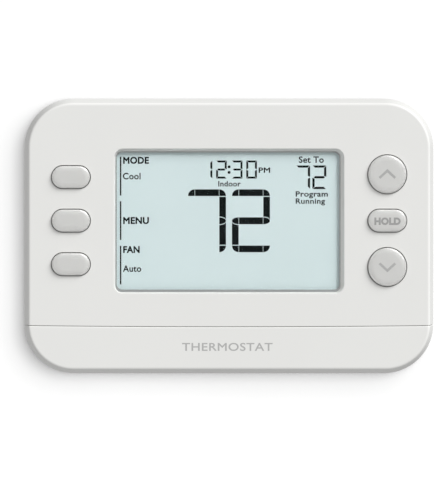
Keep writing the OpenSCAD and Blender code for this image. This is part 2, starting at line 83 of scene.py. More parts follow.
# the window: how far its sides slope in (left and below, right, above), and the border printed on the pane
LENS_MARGIN = 1.8
WINDOW_W = lens_hi.x - lens_lo.x - 2 * LENS_MARGIN
WINDOW_H = lens_hi.z - lens_lo.z - 2 * LENS_MARGIN
WINDOW_Z = (lens_hi.z + lens_lo.z) / 2
WINDOW_R = 2.85
WINDOW_STEPS = 10
NEAR_SLOPE = 0.4
RIGHT_SLOPE = 1.1
TOP_SLOPE = 0.8
OPENING_Z = WINDOW_Z - 0.15
BORDER_W = 0.42
BORDER_LOW = 0.8

# the keys' flange behind the face, the gap round the keys, and the thickness of every print
FLANGE_W = 1.3
KEY_GAP = 0.25
PRINT_T = 0.02

# the seam: its height at the middle, its rise at the sides, its gap, and the rounds on both sides of it
SEAM_Z = -29.25
SEAM_RISE = 0.4
SEAM_GAP = 0.11
SEAM_ROUND_ABOVE = 0.12
SEAM_ROUND_BELOW = 0.4


# ---------- outlines, as lists of (x, z) ----------

def arc(cx, cz, r, start, end, steps):
    """Points on a circle from angle start to end, in degrees."""
    angles = [math.radians(start + (end - start) * i / steps) for i in range(steps + 1)]
    return [(cx + r * math.cos(a), cz + r * math.sin(a)) for a in angles]


def rounded(w, h, r, cx=0.0, cz=0.0, steps=8):
    """A rectangle with round corners, anticlockwise."""
    x, z = w / 2 - r, h / 2 - r
    return (arc(cx + x, cz - z, r, -90, 0, steps) + arc(cx + x, cz + z, r, 0, 90, steps)
            + arc(cx - x, cz + z, r, 90, 180, steps) + arc(cx - x, cz - z, r, 180, 270, steps))


def oval(w, h, cx=0.0, cz=0.0, steps=24):
    """Two half circles joined by straight sides, or a circle when w equals h."""
    r = h / 2
    x = max(w - h, 0) / 2
    if x < 1e-6:
        return arc(cx, cz, r, 0, 360, 2 * steps)[:-1]
    return arc(cx + x, cz, r, -90, 90, steps) + arc(cx - x, cz, r, 90, 270, steps)


def quarter_round(r, steps):
    """A small round edge of radius r, as (distance from its start, distance from its end)."""
    angles = [math.pi / 2 * k / steps for k in range(steps + 1)]
    return [(r * (1 - math.cos(a)), r * (1 - math.sin(a))) for a in angles]


def circle(r, cx=0.0, cz=0.0, steps=32):
    """A full circle, without its first point twice."""
    return arc(cx, cz, r, 0, 360, steps)[:-1]


# ---------- mesh building ----------

def add_object(name, data):
    """A new object in the scene."""
    added = bpy.data.objects.new(name, data)
    bpy.context.scene.collection.objects.link(added)
    return added


class Skin:
    """Points and faces of one piece, gathered ring by ring."""

    def __init__(self):
        self.points = []
        self.faces = []

    def line(self, points):
        """Adds (x, d, z) points and returns their numbers."""
        first = len(self.points)
        self.points += list(points)
        return list(range(first, len(self.points)))

    def ring(self, outline, d):
        """Adds an outline at distance d from the wall and returns its point numbers."""
        return self.line([(x, d, z) for x, z in outline])

    def bridge(self, a, b, closed=True):
        """Quads between two rings of the same length."""
        count = len(a)
        for i in range(count if closed else count - 1):
            j = (i + 1) % count
            self.faces.append((a[i], a[j], b[j], b[i]))

    def loft(self, rings, closed=True):
        for a, b in zip(rings, rings[1:]):
            self.bridge(a, b, closed)

    def fill(self, outer, *holes):
        """Triangles over the flat area inside outer and outside the holes, seen from the room."""
        rings = (outer, *holes)
        numbers = [i for ring in rings for i in ring]
        loops = [[Vector((self.points[i][0], self.points[i][2], 0)) for i in ring] for ring in rings]
        for triangle in tessellate_polygon(loops):
            self.faces.append(tuple(numbers[i] for i in triangle))

    def cap(self, ring):
        self.faces.append(tuple(ring))

    def solid(self, rings):
        """A closed solid from its rings."""
        self.loft(rings)
        self.cap(rings[0])
        self.cap(rings[-1])

    def plate(self, outline, d0, d1, edge=0.0, steps=3):
        """A solid plate from d0 to d1, its outline a function of inset and its front edge rounded by edge."""
        levels = quarter_round(edge, steps) if edge else [(0, 0)]
        rings = [self.ring(outline(0), d0)]
        rings += [self.ring(outline(inset), d1 - drop) for inset, drop in levels]
        self.solid(rings)

    def piece(self, name, material, body, smooth_angle=35):
        """Makes the mesh object, clean and smooth, riding on a CAD body."""
        mesh = bpy.data.meshes.new(name)
        mesh.from_pydata([(x * MM, -d * MM, z * MM) for x, d, z in self.points], [], self.faces)
        tidy = bmesh.new()
        tidy.from_mesh(mesh)
        bmesh.ops.remove_doubles(tidy, verts=tidy.verts, dist=1e-6)
        bmesh.ops.dissolve_degenerate(tidy, edges=tidy.edges, dist=1e-7)
        bmesh.ops.recalc_face_normals(tidy, faces=tidy.faces)
        tidy.to_mesh(mesh)
        tidy.free()
        mesh.shade_smooth()
        mesh.set_sharp_from_angle(angle=math.radians(smooth_angle))
        piece = add_object(name, mesh)
        weighted = piece.modifiers.new("weighted_normal", "WEIGHTED_NORMAL")
        weighted.keep_sharp = True
        mesh.materials.append(material)
        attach(piece, body)
        return piece


# ---------- materials ----------

def shader(name):
    """A new material, with its node tree and its Principled shader."""
    material = bpy.data.materials.new(name)
    material.use_nodes = True
    tree = material.node_tree
    return material, tree, tree.nodes["Principled BSDF"]


def set_inputs(principled, **values):
    """Sets constant values on the shader's own sockets."""
    names = {"metallic": "Metallic", "ior": "IOR", "alpha": "Alpha", "specular": "Specular IOR Level",
             "coat": "Coat Weight", "coat_roughness": "Coat Roughness"}
    for key, value in values.items():
        principled.inputs[names[key]].default_value = value


def add_node(tree, kind, inputs):
    """A new node. Each of its inputs gets a constant or a link from another node's socket."""
    node = tree.nodes.new("ShaderNode" + kind)
    for key, value in inputs.items():
        if isinstance(value, bpy.types.NodeSocket):
            tree.links.new(value, node.inputs[key])
        else:
            node.inputs[key].default_value = value
    return node


def maths(tree, operation, first, second):
    node = add_node(tree, "Math", {0: first, 1: second})
    node.operation = operation
    return node.outputs["Value"]


def own_coordinates(tree):
    return add_node(tree, "TexCoord", {}).outputs["Object"]


def noise(tree, scale, detail=3.0, stretch=(1, 1, 1)):
    """Noise in the piece's own coordinates. scale is in features per metre."""
    mapping = add_node(tree, "Mapping", {"Vector": own_coordinates(tree), "Scale": stretch})
    inputs = {"Vector": mapping.outputs["Vector"], "Scale": scale, "Detail": detail}
    return add_node(tree, "TexNoise", inputs).outputs["Fac"]


def colour(tree, principled, factor, low, high, start=0.35, end=0.65):
    """Colours the surface between two colours (r, g, b). Returns the colour's socket."""
    ramp = add_node(tree, "ValToRGB", {"Fac": factor})
    for element, position, tone in zip(ramp.color_ramp.elements, (start, end), (low, high)):
        element.position = position
        element.color = (*tone, 1)
    tree.links.new(ramp.outputs["Color"], principled.inputs["Base Color"])
    return ramp.outputs["Color"]


def roughness(tree, principled, factor, low, high):
    """Varies the surface's roughness with noise, from low to high."""
    inputs = {"Value": factor, "From Min": 0.3, "From Max": 0.7, "To Min": low, "To Max": high}
    spread = add_node(tree, "MapRange", inputs)
    tree.links.new(spread.outputs["Result"], principled.inputs["Roughness"])


def bump(tree, principled, height, strength, distance):
    """Fine relief from a height, with its depth in metres."""
    relief = add_node(tree, "Bump", {"Height": height, "Strength": strength, "Distance": distance})
    tree.links.new(relief.outputs["Normal"], principled.inputs["Normal"])


def tinted(base, factor):
    """A colour made lighter or darker."""
    return tuple(min(1.0, c * factor) for c in base)


def moulded(name, base, rough=0.5, grain=4200, relief=0.12, variation=0.02, **values):
    """Moulded plastic: a fine spark-eroded grain, and a faint drift of tone over the part."""
    material, tree, principled = shader(name)
    drift = noise(tree, scale=28, detail=2.0)
    colour(tree, principled, drift, tinted(base, 1 - variation), tinted(base, 1 + variation))
    fine = noise(tree, grain, detail=2.0)
    roughness(tree, principled, fine, rough - 0.05, rough + 0.05)
    bump(tree, principled, fine, relief, distance=0.00004)
    set_inputs(principled, **values)
    return material


def metal(name, base, rough=0.3, brush=(1, 1, 1), scale=3000):
    """Plated or bare metal, with fine drawing marks along the axis that brush leaves short."""
    material, tree, principled = shader(name)
    marks = noise(tree, scale, detail=4.0, stretch=brush)
    colour(tree, principled, marks, tinted(base, 0.86), tinted(base, 1.08))
    roughness(tree, principled, marks, rough - 0.08, rough + 0.1)
    bump(tree, principled, marks, strength=0.15, distance=0.00002)
    set_inputs(principled, metallic=1.0)
    return material


def ink(name, base, rough=0.6, specular=0.5):
    """Printed or liquid-crystal black, with slight unevenness."""
    material, tree, principled = shader(name)
    specks = noise(tree, scale=6000, detail=2.0)
    colour(tree, principled, specks, tinted(base, 0.9), tinted(base, 1.1))
    roughness(tree, principled, specks, rough - 0.05, rough + 0.05)
    set_inputs(principled, specular=specular)
    return material


def display_face():
    """The pale reflector of the display, with the faint fine texture of the rear polariser and a faint
    painted glow of its own tone that brightens it evenly.
    """
    material, tree, principled = shader("display_face")
    cloud = noise(tree, scale=30, detail=2.0)
    tone = colour(tree, principled, cloud, (0.715, 0.843, 0.850), (0.735, 0.863, 0.870))
    # painted glow: the reflector gives off a faint light of its own tone, which brightens the display evenly
    tree.links.new(tone, principled.inputs["Emission Color"])
    principled.inputs["Emission Strength"].default_value = 0.1
    fine = noise(tree, scale=9000, detail=1.0)
    roughness(tree, principled, fine, 0.5, 0.62)
    bump(tree, principled, fine, strength=0.08, distance=0.00002)
    set_inputs(principled, specular=0.1)
    return material


def clear_pane():
    """The window: clear moulded plastic that lets the display show through."""
    material, tree, principled = shader("clear_pane")
    waves = noise(tree, scale=60, detail=1.0)
    colour(tree, principled, waves, (0.02, 0.03, 0.03), (0.04, 0.05, 0.05))
    roughness(tree, principled, waves, 0.04, 0.08)
    set_inputs(principled, alpha=0.06, ior=1.49, specular=0.5)
    return material


def circuit_board():
    """Green solder mask over copper traces."""
    material, tree, principled = shader("circuit_board")
    traces = add_node(tree, "TexVoronoi", {"Vector": own_coordinates(tree), "Scale": 260})
    traces.distance = "CHEBYCHEV"
    traces.feature = "F1"
    trace_spacing = 0.09
    wave = maths(tree, "PINGPONG", traces.outputs["Distance"], trace_spacing)
    colour(tree, principled, wave, (0.012, 0.12, 0.045), (0.03, 0.22, 0.09), 0.03, 0.05)
    roughness(tree, principled, noise(tree, scale=800), 0.28, 0.38)
    bump(tree, principled, wave, strength=0.3, distance=0.00005)
    set_inputs(principled, coat=0.3, coat_roughness=0.2)
    return material


CASE_COLOUR = (0.785, 0.785, 0.766)
case_plastic = moulded("case_plastic", CASE_COLOUR, 0.48, variation=0.006)
cover_plastic = moulded("cover_plastic", CASE_COLOUR, 0.48, variation=0.006)
rear_plastic = moulded("rear_plastic", (0.74, 0.74, 0.72), 0.52, variation=0.012)
plate_plastic = moulded("plate_plastic", (0.70, 0.70, 0.67), 0.5, variation=0.015)
terminal_plastic = moulded("terminal_plastic", (0.80, 0.80, 0.78), 0.42)
key_plastic = moulded("key_plastic", (0.555, 0.555, 0.54), 0.36, grain=3200, variation=0.008, coat=1.0,
                      coat_roughness=0.26)
key_print = ink("key_print", (0.36, 0.36, 0.355), 0.5)
hold_print = ink("hold_print", (0.29, 0.29, 0.285), 0.5)
case_print = ink("case_print", (0.43, 0.43, 0.425), 0.5)
segment_ink = ink("segment_ink", (0.004, 0.006, 0.0065), 0.5, 0.05)
label_ink = ink("label_ink", (0.014, 0.020, 0.021), 0.5, 0.05)
border_print = ink("border_print", (0.34, 0.355, 0.355), 0.5, 0.1)
foam = moulded("foam", (0.03, 0.03, 0.032), 0.9, grain=2500, relief=0.6)
white_frame = moulded("white_frame", (0.85, 0.85, 0.84), 0.4)
acrylic = moulded("acrylic", (0.86, 0.92, 0.92), 0.15, coat=0.5)
lamp = moulded("lamp", (0.95, 0.86, 0.5), 0.2)
zebra = moulded("zebra", (0.26, 0.26, 0.30), 0.7)
black_plastic = moulded("black_plastic", (0.028, 0.028, 0.030), 0.42, variation=0.08)
relay_plastic = moulded("relay_plastic", (0.80, 0.80, 0.76), 0.3)
sleeve = moulded("sleeve", (0.03, 0.04, 0.15), 0.28, variation=0.05)
ceramic = moulded("ceramic", (0.22, 0.16, 0.11), 0.5, variation=0.12)
lever_plastic = moulded("lever_plastic", (0.72, 0.19, 0.03), 0.36, variation=0.03)
nickel = metal("nickel", (0.66, 0.64, 0.59), 0.28)
steel = metal("steel", (0.60, 0.60, 0.61), 0.26)
zinc = metal("zinc", (0.56, 0.56, 0.58), 0.34)
bronze = metal("bronze", (0.66, 0.42, 0.19), 0.3)
brass = metal("brass", (0.76, 0.56, 0.24), 0.22)


# ---------- the case ----------

def seam(x):
    """Height of the seam's middle line, a shallow arc."""
    return SEAM_Z + SEAM_RISE * (x / (CASE_W / 2)) ** 2


def side_levels():
    """The case's side, from the rear edge to the front face, as (distance from the wall, inset)."""
    rear_round = ((0, 0.25), (0.08, 0.08), (0.3, 0))
    levels = [(SPLIT_D + d, inset) for d, inset in rear_round]
    straight_end = FACE_D - EDGE_D
    lean = SIDE_DRAFT / (straight_end - SPLIT_D)
    for d in (SPLIT_D + 4, SPLIT_D + 9, SKIN_D, straight_end):
        levels.append((d, lean * (d - SPLIT_D)))
    # the front edge is a quadratic curve from the side to the face
    corner = (FACE_D, SIDE_DRAFT + lean * EDGE_D)
    start, end = levels[-1], (FACE_D, SIDE_DRAFT + EDGE_W)
    steps = 7
    for i in range(1, steps + 1):
        t = i / steps
        weights = ((1 - t) ** 2, 2 * t * (1 - t), t * t)
        levels.append(tuple(sum(w * p[k] for w, p in zip(weights, (start, corner, end))) for k in (0, 1)))
    return levels


def open_outline(inset, end_z, upper):
    """The case outline from the seam on one side round to the seam on the other, anticlockwise."""
    x, z = CASE_W / 2 - CORNER_R, CASE_H / 2 - CORNER_R
    r = CORNER_R - inset
    side = CASE_W / 2 - inset
    if upper:
        return ([(side, end_z)] + arc(x, z, r, 0, 90, CORNER_STEPS) + arc(-x, z, r, 90, 180, CORNER_STEPS)
                + [(-side, end_z)])
    turn = math.degrees(math.asin(max(-z - end_z, 0) / r))
    low_left = arc(-x, -z, r, 180 + turn, 270, CORNER_STEPS)
    low_right = arc(x, -z, r, 270, 360 - turn, CORNER_STEPS)
    return [(low_left[0][0], end_z)] + low_left + low_right + [(low_right[-1][0], end_z)]


def round_seam_edge(skin, section, radius, sign):
    """Rounds a shell's edge along the seam. Returns the rows of points from the outside inwards."""
    def inward(k):
        """Direction into the wall at the k-th point of the section, as (x, d)."""
        a = skin.points[section[max(k - 1, 0)]]
        b = skin.points[section[min(k + 1, len(section) - 1)]]
        along = Vector((b[0] - a[0], b[1] - a[1])).normalized()
        return Vector((along.y, -along.x)) * sign

    normals = [inward(k) for k in range(len(section))]
    rows = [section]
    steps = 4
    for sink, left in quarter_round(radius, steps)[1:]:
        row = []
        for number, n in zip(section, normals):
            x, d, z = skin.points[number]
            row.append((x + n.x * sink, d + n.y * sink, z - sign * (radius - left)))
        rows.append(skin.line(row))
    skin.loft(rows, closed=False)
    return rows


def shell(skin, upper, front_holes, back_holes):
    """The case shell on one side of the seam. The holes are rings already in the skin."""
    sign = 1 if upper else -1
    seam_round = SEAM_ROUND_ABOVE if upper else SEAM_ROUND_BELOW
    outer = side_levels()
    lean = SIDE_DRAFT / (SKIN_D - SPLIT_D)
    side_x = CASE_W / 2

    def end_z(x, clear):
        return seam(x) + sign * (SEAM_GAP / 2 + clear)

    # the outside: side walls, rounded edge and face
    outer_rings = [skin.ring(open_outline(inset, end_z(side_x, seam_round), upper), d) for d, inset in outer]
    skin.loft(outer_rings, closed=False)
    face_edge = CASE_W / 2 - outer[-1][1]
    spans = 48
    across = [face_edge - 2 * face_edge * i / spans for i in range(1, spans)]
    if upper:
        across.reverse()
    face_seam = skin.line([(x, FACE_D, end_z(x, seam_round)) for x in across])
    skin.fill(outer_rings[-1] + face_seam, *front_holes)

    # the section along the seam: up the last side, across the face and down the first side
    first_column = [ring[0] for ring in outer_rings]
    last_column = [ring[-1] for ring in outer_rings]
    rows = round_seam_edge(skin, last_column + face_seam + first_column[::-1], seam_round, sign)

    # the inside: side walls and the back of the face, with as many points along the seam as the outside
    inner = [(d, WALL + lean * (d - SPLIT_D)) for d, _ in outer if d <= SKIN_D]
    inner_rings = [skin.ring(open_outline(inset, end_z(side_x, 0), upper), d) for d, inset in inner]
    skin.loft(inner_rings, closed=False)
    inner_side = CASE_W / 2 - inner[-1][1]
    extra = len(outer) - len(inner)
    hem = 0.8
    reach = inner_side - hem
    flat = [inner_side - hem * (k + 1) / (extra + 1) for k in range(extra)]
    middle = [x / face_edge * reach for x in across]
    line_x = [-sign * x for x in flat] + middle + [sign * x for x in reversed(flat)]
    back_seam = skin.line([(x, SKIN_D, end_z(x, 0)) for x in line_x])
    skin.fill(inner_rings[-1] + back_seam, *back_holes)
    inner_section = [ring[-1] for ring in inner_rings] + back_seam + [ring[0] for ring in inner_rings][::-1]
    skin.bridge(rows[-1], inner_section, closed=False)

    # the rear rim
    skin.bridge(outer_rings[0], inner_rings[0], closed=False)
    for column, edge in ((0, -1), (-1, 0)):
        skin.cap([row[edge] for row in rows] + [inner_rings[0][column]])
    return skin


def key_outline(key):
    """A key's outline as a function of inset, with its middle and size."""
    lo, hi = box_mm("button_" + key)
    cx, cz = (lo.x + hi.x) / 2, (lo.z + hi.z) / 2
    w, h = hi.x - lo.x - 2 * FLANGE_W, hi.z - lo.z - 2 * FLANGE_W
    return (lambda inset: oval(w - 2 * inset, h - 2 * inset, cx, cz)), cx, cz, w, h


def hole(skin, outline, front_d, back_d, edge, steps=4):
    """A hole with a rounded front edge. Returns its ring on the face and its ring on the back."""
    rings = [skin.ring(outline(-grow), front_d - drop) for drop, grow in quarter_round(edge, steps)]
    rings.append(skin.ring(outline(0), back_d))
    skin.loft(rings)
    return rings[0], rings[-1]


def tube(skin, x, z, r_out, r_in, base_d, end_d, bore_d):
    """A screw boss that stands back from the inside of the face. Returns its ring there."""
    edge = 0.2
    profile = ((r_out, base_d), (r_out, end_d + edge), (r_out - edge, end_d),
               (r_in + edge, end_d), (r_in, end_d + edge), (r_in, bore_d))
    rings = [skin.ring(circle(r, x, z), d) for r, d in profile]
    skin.loft(rings)
    skin.cap(rings[-1])
    return rings[0]


def four_corners(node, head_r):
    """Middles of the four screws in a node, from its box and the radius of their heads."""
    lo, hi = box_mm(node)
    return [(x, z) for x in (lo.x + head_r, hi.x - head_r) for z in (lo.z + head_r, hi.z - head_r)]


def screw_bosses(skin):
    """The bosses of the case screws and the board screws. Returns their rings on the back of the face."""
    board_d = box_mm("main_board")[1].y
    bosses = (("case_screws", 2.4, 3.0, 1.2, SPLIT_D, 7), ("board_screws", 2.0, 2.4, 1.0, board_d, 5))
    rings = []
    for node, head_r, boss_r, bore_r, end_d, bore_depth in bosses:
        for x, z in four_corners(node, head_r):
            rings.append(tube(skin, x, z, boss_r, bore_r, SKIN_D, end_d, end_d + bore_depth))
    return rings


def throat(inset, low_inset):
    """The window's outline at the pane, where its right and upper sides have sloped in the furthest."""
    w = WINDOW_W - RIGHT_SLOPE - NEAR_SLOPE - 2 * inset
    h = WINDOW_H - TOP_SLOPE - NEAR_SLOPE - inset - low_inset
    cx = (NEAR_SLOPE - RIGHT_SLOPE) / 2
    cz = OPENING_Z + (NEAR_SLOPE - TOP_SLOPE + low_inset - inset) / 2
    throat_r = 2.0
    return rounded(w, h, throat_r - inset / 2, cx, cz, WINDOW_STEPS)


def window_opening(skin):
    """A rounded edge, sloping sides down to the pane, and the rebate that holds it. Returns its end rings."""
    edge, steps = 0.17, 4
    rebate, rebate_r = LENS_MARGIN + 0.2, 2.5

    def outline(grow, r):
        return rounded(WINDOW_W + 2 * grow, WINDOW_H + 2 * grow, r, 0, OPENING_Z, WINDOW_STEPS)

    rings = []
    for drop, grow in quarter_round(edge, steps):
        rings.append(skin.ring(outline(grow, WINDOW_R + grow), FACE_D - drop))
    rings.append(skin.ring(throat(0, 0), lens_hi.y))
    for d in (lens_hi.y, SKIN_D):
        rings.append(skin.ring(outline(rebate, rebate_r), d))
    skin.loft(rings)
    return rings[0], rings[-1]


def make_front_cover():
    """The front shell, with its key holes, its window and its screw bosses."""
    skin = Skin()
    hole_edge = 0.12
    openings = []
    for key in KEYS:
        outline = key_outline(key)[0]
        openings.append(hole(skin, lambda inset, o=outline: o(inset - KEY_GAP), FACE_D, SKIN_D, hole_edge))
    openings.append(window_opening(skin))
    front_holes = [front for front, _ in openings]
    back_holes = [back for _, back in openings] + screw_bosses(skin)
    shell(skin, True, front_holes, back_holes)
    cover = skin.piece("front_shell", case_plastic, "housing")
    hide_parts("front_cover")
    return cover


def make_battery_cover():
    """The strip below the seam, with two tongues that reach up behind the front shell."""
    skin = Skin()
    shell(skin, False, [], [])
    tongue_w, tongue_r, tongue_edge = 16, 1, 0.15
    root_h, root_r = 2, 0.4
    corner_steps = 4
    top, bottom = strip_hi.z, SEAM_Z - 2.8
    for x in (-42, 42):
        def tongue(inset, x=x):
            return rounded(tongue_w - 2 * inset, top - bottom - 2 * inset, tongue_r - inset, x,
                           (top + bottom) / 2, corner_steps)

        def root(inset, x=x):
            return rounded(tongue_w, root_h, root_r, x, bottom + root_h / 2, corner_steps)

        skin.plate(tongue, SKIN_D - 1.2, SKIN_D - 0.3, tongue_edge)
        skin.plate(root, SKIN_D - 1.1, SKIN_D + 0.5)
    cover = skin.piece("battery_strip", cover_plastic, "battery_cover")
    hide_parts("battery_cover")
    return cover


# ---------- keys ----------

# the small round at a key's edge and the low dome inside it, each as its width and its rise
KEY_EDGE = 0.4
KEY_EDGE_RISE = 0.35
KEY_DOME = 2.0
KEY_DOME_RISE = 0.4
KEY_TOP_D = box_mm("button_mode")[1].y - PRINT_T


def key_height(t):
    """Distance from the wall of a key's surface, t in from its edge. Its middle is flat."""
    edge = KEY_EDGE_RISE * math.sqrt(1 - (1 - min(t, KEY_EDGE) / KEY_EDGE) ** 2)
    dome = KEY_DOME_RISE * (1 - (1 - min(t / KEY_DOME, 1)) ** 2)
    return KEY_TOP_D - KEY_EDGE_RISE - KEY_DOME_RISE + edge + dome


def key_surface(key):
    """A function that gives the surface of a key at x, z."""
    _, cx, cz, w, h = key_outline(key)

    def at(x, z):
        off = max(abs(x - cx) - (w - h) / 2, 0)
        return key_height(max(h / 2 - math.hypot(off, z - cz), 0))
    return at


def make_key(key):
    """A key: its domed cap, the flange behind the face, and the stem that meets the switch."""
    outline, cx, cz, _, _ = key_outline(key)
    lo, _ = box_mm("button_" + key)
    flange_d, flange_t, flange_edge = SKIN_D - 0.2, 0.9, 0.15
    stem_r = 1.6
    steps = 7
    skin = Skin()
    flange = ((-FLANGE_W, flange_d - flange_t), (-FLANGE_W, flange_d - flange_edge),
              (-FLANGE_W + flange_edge, flange_d), (0, flange_d))
    insets = [inset for inset, _ in quarter_round(KEY_EDGE, steps)]
    insets += [KEY_EDGE + (KEY_DOME - KEY_EDGE) * i / steps for i in range(1, steps + 1)]
    rings = [skin.ring(outline(inset), d) for inset, d in flange]
    rings += [skin.ring(outline(inset), key_height(inset)) for inset in insets]
    skin.loft(rings)
    skin.cap(rings[-1])
    stem = [skin.ring(circle(stem_r, cx, cz), d) for d in (flange_d - flange_t, lo.y)]
    skin.loft(stem)
    skin.cap(stem[-1])
    skin.fill(rings[0], stem[0])
    piece = skin.piece("key_" + key, key_plastic, key + "_button", 45)
    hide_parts("button_" + key)
    return piece


def make_chevron(key, up):
    """An arrow on a round key: a bent stroke that follows the key's surface."""
    _, cx, cz, _, _ = key_outline(key)
    surface = key_surface(key)
    half_w, rise, half_stroke = 2.55, 2.35, 0.4
    lift, depth = 0.75 * PRINT_T, 2 * PRINT_T
    steps = 10
    sign = 1 if up else -1
    tip = Vector((0, rise / 2))
    ends = [Vector((-half_w, -rise / 2)), Vector((half_w, -rise / 2))]
    slope = (tip - ends[0]).normalized()
    side = Vector((-slope.y, slope.x))
    left = [ends[0].lerp(tip, i / steps) for i in range(steps + 1)]
    top = [p + side * half_stroke for p in left[:-1]] + [tip + Vector((0, half_stroke / slope.x))]
    top += [Vector((-p.x, p.y)) for p in reversed(top[:-1])]
    under = [p - side * half_stroke for p in left[:-1]] + [tip - Vector((0, half_stroke / slope.x))]
    under += [Vector((-p.x, p.y)) for p in reversed(under[:-1])]
    skin = Skin()

    def row(points, sink):
        return skin.line([(cx + p.x, surface(cx + p.x, cz + sign * p.y) + lift - sink, cz + sign * p.y)
                          for p in points])
    rows = [row(top, 0), row(under, 0), row(under, depth), row(top, depth)]
    skin.loft(rows + rows[:1], closed=False)
    for end in (0, -1):
        skin.cap([r[end] for r in rows])
    piece = skin.piece("arrow_" + key, key_print, key + "_button")
    return piece


# ---------- lettering ----------

def word(name, text, x0, x1, baseline, cap_h, surface, weight):
    """Letters from x0 to x1, as a thin raised print on surface(x, z). Returns their points and faces."""
    curve = bpy.data.curves.new(name, "FONT")
    curve.body = text
    curve.bevel_depth = weight
    curve.bevel_resolution = 0
    curve.space_character = 1.06
    curve.extrude = 0.5
    curve.resolution_u = 4
    source = add_object(name, curve)
    mesh = text_mesh(source)
    capital = cap_height(source, curve)
    low = min(v.co.x for v in mesh.vertices)
    high = max(v.co.x for v in mesh.vertices)
    along, up = (x1 - x0) / (high - low), cap_h / capital
    points = []
    for v in mesh.vertices:
        x, z = x0 + (v.co.x - low) * along, baseline + v.co.y * up
        points.append((x, surface(x, z) + (PRINT_T if v.co.z > 0 else 0), z))
    faces = [tuple(p.vertices) for p in mesh.polygons]
    bpy.data.objects.remove(source)
    bpy.data.curves.remove(curve)
    bpy.data.meshes.remove(mesh)
    return points, faces


def text_mesh(source):
    """A mesh of a text object as it stands."""
    bpy.context.view_layer.update()
    return bpy.data.meshes.new_from_object(source.evaluated_get(bpy.context.evaluated_depsgraph_get()))


def cap_height(source, curve):
    """Height of a capital H in the font's own units."""
    text = curve.body
    curve.body = "H"
    letter = text_mesh(source)
    height = max(v.co.y for v in letter.vertices) - min(v.co.y for v in letter.vertices)
    bpy.data.meshes.remove(letter)
    curve.body = text
    return height


def lettering(name, words, surface, material, body):
    """One piece from several words, each (text, x0, x1, baseline, capital height, weight)."""
    skin = Skin()
    for text, x0, x1, baseline, cap_h, weight in words:
        points, faces = word(name, text, x0, x1, baseline, cap_h, surface, weight)
        first = len(skin.points)
        skin.points += points
        skin.faces += [tuple(first + i for i in face) for face in faces]
    piece = skin.piece(name, material, body, 20)
    return piece


def make_hold_word():
    """The word on the oval key at the right, which follows the key's surface."""
    _, cx, cz, _, _ = key_outline("hold")
    words = [("HOLD", cx - 4.2, cx + 4.3, cz - 1.2, 2.4, 0.06)]
    return lettering("hold_word", words, key_surface("hold"), hold_print, "hold_button")


def make_strip_word():
    """A plain word that says what the object is, on the strip below the seam."""
    words = [("THERMOSTAT", -15.2, 14.1, -37.0, 2.55, 0.01)]
    return lettering("strip_word", words, lambda x, z: FACE_D, case_print, "battery_cover")


# ---------- display ----------

def prism(skin, outline, d0, d1):
    """A flat shape from d0 to d1."""
    back, front = skin.ring(outline, d0), skin.ring(outline, d1)
    skin.bridge(back, front)
    skin.fill(back)
    skin.fill(front)


def block_digit(skin, pieces, x, z0, z1, w, stroke, gap, d0, d1):
    """A wide seven-bar digit with quarter-round corners. pieces names what is lit.

    Corners: tl tr bl br. Bars: top mid low. Sides: ul ur ll lr. Round ends of the middle bar: ml mr.
    """
    middle = (z0 + z1) / 2
    half_mid = stroke * 0.52
    cut = gap / 2
    inner_x = (x + stroke, x + w - stroke)
    quarter_turn, steps = 90, 10

    def add(points):
        prism(skin, points, d0, d1)

    def quarter(cx, cz, start):
        add([(cx, cz)] + arc(cx, cz, stroke, start, start + quarter_turn, steps))

    def bar(z_low, z_high):
        add([(inner_x[0] + cut, z_low), (inner_x[1] - cut, z_low), (inner_x[1] - cut, z_high),
             (inner_x[0] + cut, z_high)])

    def bulge():
        """A quarter of the middle's lens, from its inner edge out to its tip, as (distance out, height)."""
        turns = [math.radians(quarter_turn * i / steps) for i in range(steps + 1)]
        return [(stroke * math.sin(a), half_mid * math.cos(a)) for a in turns]

    def side(left, upper):
        """A side bar whose end at the middle is hollowed round the lens."""
        edge = inner_x[0] if left else inner_x[1]
        way = -1 if left else 1
        sign = 1 if upper else -1
        far = (z1 - stroke - gap) if upper else (z0 + stroke + gap)
        curve_points = [(edge + way * out, middle + sign * (v + gap)) for out, v in bulge()]
        add(curve_points + [(edge + way * stroke, far), (edge, far)])

    def lens(left):
        """The round end of the middle bar."""
        edge = inner_x[0] if left else inner_x[1]
        way = -1 if left else 1
        upper_half = [(edge + way * out, middle + v) for out, v in bulge()]
        lower_half = [(px, 2 * middle - pz) for px, pz in reversed(upper_half[:-1])]
        add(upper_half + lower_half)

    made = {
        "tl": (quarter, inner_x[0], z1 - stroke, 90), "tr": (quarter, inner_x[1], z1 - stroke, 0),
        "bl": (quarter, inner_x[0], z0 + stroke, 180), "br": (quarter, inner_x[1], z0 + stroke, 270),
        "top": (bar, z1 - stroke, z1), "mid": (bar, middle - half_mid, middle + half_mid),
        "low": (bar, z0, z0 + stroke), "ul": (side, True, True), "ur": (side, False, True),
        "ll": (side, True, False), "lr": (side, False, False), "ml": (lens, True), "mr": (lens, False),
    }
    for name in pieces.split():
        make, *values = made[name]
        make(*values)


SEVEN_BARS = {"0": "abcdef", "1": "bc", "2": "abged", "3": "abgcd", "7": "abc"}


